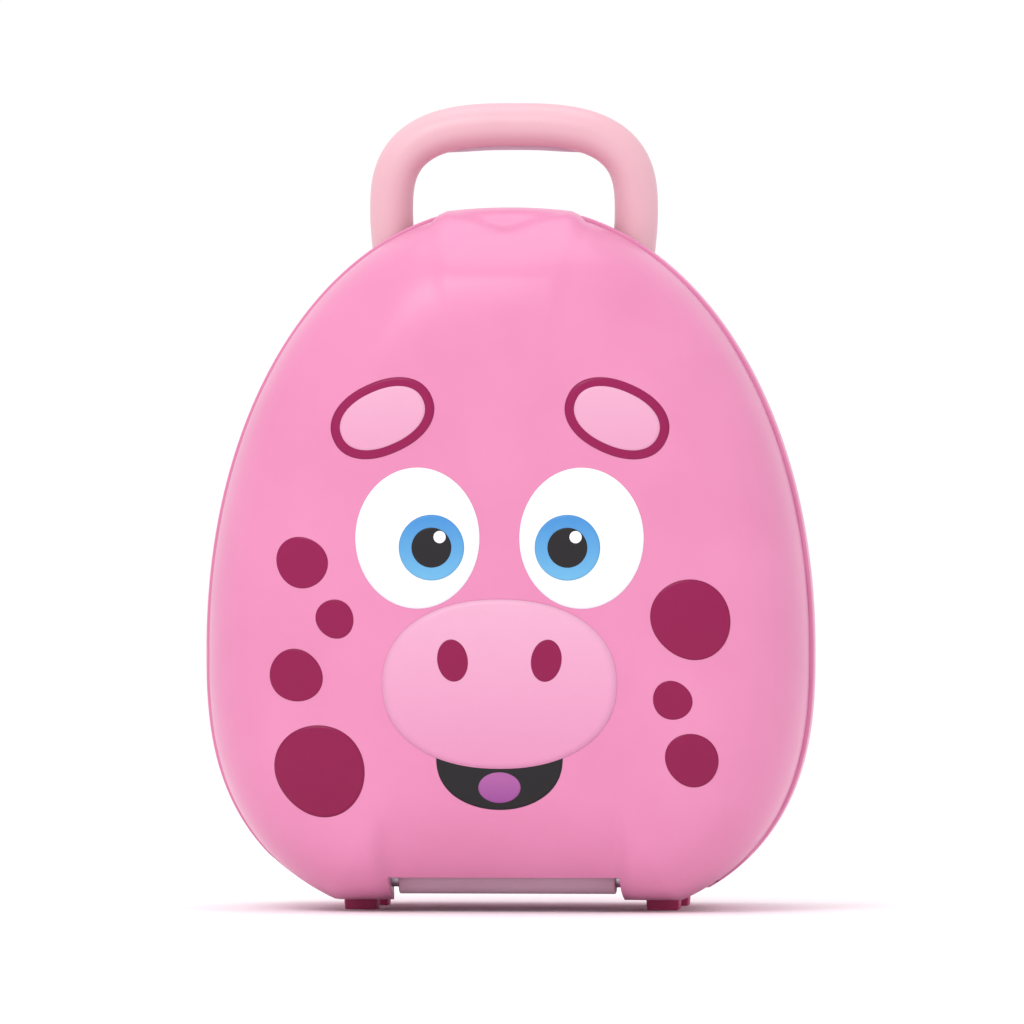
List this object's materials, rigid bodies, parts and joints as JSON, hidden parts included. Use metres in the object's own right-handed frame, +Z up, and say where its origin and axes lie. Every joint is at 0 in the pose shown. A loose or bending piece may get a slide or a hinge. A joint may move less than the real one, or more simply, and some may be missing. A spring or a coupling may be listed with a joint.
{
  "type": "potty training chair",
  "caption": "Portable child's potty in an egg-shaped upright carry case: front lid swings down on a bottom hinge, seat and removable bowl inside, folding carrying handle.",
  "frame": {"origin": "middle of the footprint on the floor, under the closed case standing upright on its four narrow feet", "axes": "+X across the width, -Y out of the front of the lid, +Z up; the parting plane of the case faces -Y"},
  "size_m": [0.261, 0.165, 0.346],
  "materials": {
    "shell_pink": "satin moulded polypropylene, warm pink",
    "inner_pale_pink": "satin moulded polypropylene, pale pink",
    "handle_pale_pink": "satin moulded polypropylene, pale pink",
    "foot_rubber": "matt thermoplastic rubber, deep magenta",
    "seal_rubber": "matt translucent white silicone",
    "screw_steel": "zinc plated steel"
  },
  "bodies": {
    "base": {"base_shell": "shell_pink", "seat_deck": "inner_pale_pink", "bowl": "inner_pale_pink", "deck_screw_1": "screw_steel", "deck_screw_2": "screw_steel", "deck_screw_3": "screw_steel", "deck_screw_4": "screw_steel", "back_foot_1": "foot_rubber", "back_foot_2": "foot_rubber", "back_foot_3": "foot_rubber", "back_foot_4": "foot_rubber", "standing_foot_1": "foot_rubber", "standing_foot_2": "foot_rubber", "standing_foot_3": "foot_rubber", "standing_foot_4": "foot_rubber", "handle_pin_left": "screw_steel", "handle_pin_right": "screw_steel"},
    "lid": {"lid_shell": "shell_pink", "lid_liner": "inner_pale_pink", "lid_seal": "seal_rubber", "hinge_pin": "screw_steel", "liner_screw_1": "screw_steel", "liner_screw_2": "screw_steel", "liner_screw_3": "screw_steel", "liner_screw_4": "screw_steel", "liner_screw_5": "screw_steel", "liner_screw_6": "screw_steel"},
    "handle": {"handle_front": "handle_pale_pink", "handle_back": "handle_pale_pink", "handle_screw_1": "screw_steel", "handle_screw_2": "screw_steel", "handle_screw_3": "screw_steel"}
  },
  "joints": [
    {"name": "lid_hinge", "type": "hinge", "parent": "base", "child": "lid", "pos_m": [0, -0.0405, 0.014], "axis": [1, 0, 0], "range_deg": [0, 110]},
    {"name": "handle_pivot", "type": "hinge", "parent": "base", "child": "handle", "pos_m": [0, -0.01, 0.268], "axis": [-1, 0, 0], "range_deg": [0, 62]}
  ]
}
